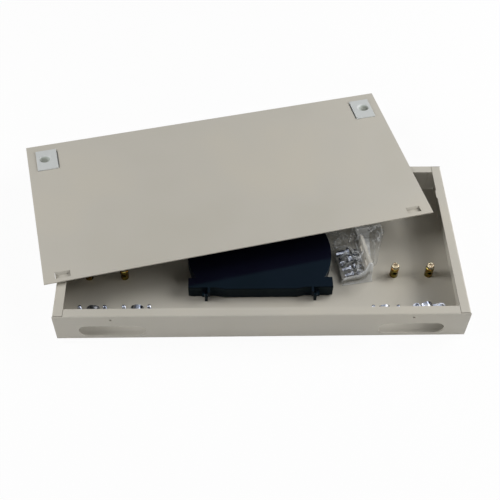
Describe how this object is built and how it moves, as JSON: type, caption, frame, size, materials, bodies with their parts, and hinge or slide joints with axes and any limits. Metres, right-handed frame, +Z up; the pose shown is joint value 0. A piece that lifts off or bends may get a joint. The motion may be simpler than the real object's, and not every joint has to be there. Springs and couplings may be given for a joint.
{
  "type": "fiber termination box",
  "caption": "Low sheet-steel fibre termination box shown open: loose cover with two slide latches, splice tray, wire posts, cable clamps and a bag of fixings inside.",
  "frame": {"origin": "centre of the box's rectangular footprint, on its underside", "axes": "+X to the right along the long side, +Y to the back, +Z up; the front wall with its cable slots faces -Y"},
  "size_m": [0.4882, 0.3383, 0.0448],
  "materials": {
    "beige_powder_coat": "warm grey-beige powder coat, fine satin texture",
    "white_plastic": "moulded white plastic, satin",
    "yellow_zinc": "yellow passivated, iridescent, turned",
    "bright_zinc": "bright zinc plated",
    "navy_plastic": "very dark navy moulded plastic, low gloss",
    "clear_film": "clear crumpled film"
  },
  "bodies": {
    "chassis": {"base_pan": "beige_powder_coat", "left_side_plate": "beige_powder_coat", "right_side_plate": "beige_powder_coat", "wire_post_1": "yellow_zinc", "wire_post_2": "yellow_zinc", "wire_post_3": "yellow_zinc", "wire_post_4": "yellow_zinc", "clamp_studs": "bright_zinc", "clamp_nuts": "bright_zinc", "clamp_saddle_1": "bright_zinc", "clamp_saddle_2": "bright_zinc", "clamp_saddle_3": "bright_zinc", "splice_tray_base": "navy_plastic", "tray_hinge_pins": "bright_zinc", "lower_splice_holder": "navy_plastic", "tray_studs": "bright_zinc", "tray_nuts": "bright_zinc", "accessory_bag": "clear_film", "left_rack_ear": "beige_powder_coat", "right_rack_ear": "beige_powder_coat", "ear_screws": "bright_zinc", "rack_screws": "bright_zinc", "spare_nuts": "bright_zinc"},
    "cover": {"cover_plate": "beige_powder_coat"},
    "left_latch": {"left_latch_slide": "white_plastic", "left_latch_keeper": "white_plastic"},
    "right_latch": {"right_latch_slide": "white_plastic", "right_latch_keeper": "white_plastic"},
    "tray_leaf": {"splice_tray_leaf": "navy_plastic", "upper_splice_holder": "navy_plastic"},
    "tray_lid": {"splice_tray_lid": "navy_plastic"},
    "loose_clamp": {"clamp_saddle_4": "bright_zinc"},
    "wire_screw_1": {"wire_post_screw_1": "yellow_zinc"},
    "wire_screw_2": {"wire_post_screw_2": "yellow_zinc"},
    "wire_screw_3": {"wire_post_screw_3": "yellow_zinc"},
    "wire_screw_4": {"wire_post_screw_4": "yellow_zinc"}
  },
  "joints": [
    {"name": "cover_lift", "type": "slide", "parent": "chassis", "child": "cover", "axis": [0, 0, 1], "range_m": [0, 0.3]},
    {"name": "left_latch_travel", "type": "slide", "parent": "cover", "child": "left_latch", "axis": [0.9744, 0.2247, -0.0044], "range_m": [0, 0.006]},
    {"name": "right_latch_travel", "type": "slide", "parent": "cover", "child": "right_latch", "axis": [-0.9744, -0.2247, 0.0044], "range_m": [0, 0.006]},
    {"name": "tray_leaf_hinge", "type": "hinge", "parent": "chassis", "child": "tray_leaf", "pos_m": [0, -0.0576, 0.01005], "axis": [1, 0, 0], "range_deg": [0, 70]},
    {"name": "tray_lid_hinge", "type": "hinge", "parent": "tray_leaf", "child": "tray_lid", "pos_m": [0, -0.0576, 0.01005], "axis": [1, 0, 0], "range_deg": [0, 35]},
    {"name": "loose_clamp_swing", "type": "hinge", "parent": "chassis", "child": "loose_clamp", "pos_m": [0.1666, -0.077, 0.0021], "axis": [0, 0, 1], "range_deg": [-14, 0]},
    {"name": "wire_screw_1_turn", "type": "hinge", "parent": "chassis", "child": "wire_screw_1", "pos_m": [-0.1885, -0.0255, 0.0155], "axis": [0, 0, 1], "range_deg": [-1080, 0]},
    {"name": "wire_screw_2_turn", "type": "hinge", "parent": "chassis", "child": "wire_screw_2", "pos_m": [-0.1495, -0.0255, 0.0155], "axis": [0, 0, 1], "range_deg": [-1080, 0]},
    {"name": "wire_screw_3_turn", "type": "hinge", "parent": "chassis", "child": "wire_screw_3", "pos_m": [0.1495, -0.0255, 0.0155], "axis": [0, 0, 1], "range_deg": [-1080, 0]},
    {"name": "wire_screw_4_turn", "type": "hinge", "parent": "chassis", "child": "wire_screw_4", "pos_m": [0.1885, -0.0255, 0.0155], "axis": [0, 0, 1], "range_deg": [-1080, 0]}
  ],
  "couplings": [
    {"joint": "tray_leaf_hinge", "follows": "cover_lift", "rad_per_m": 4.07},
    {"joint": "tray_lid_hinge", "follows": "cover_lift", "rad_per_m": 2.03}
  ]
}
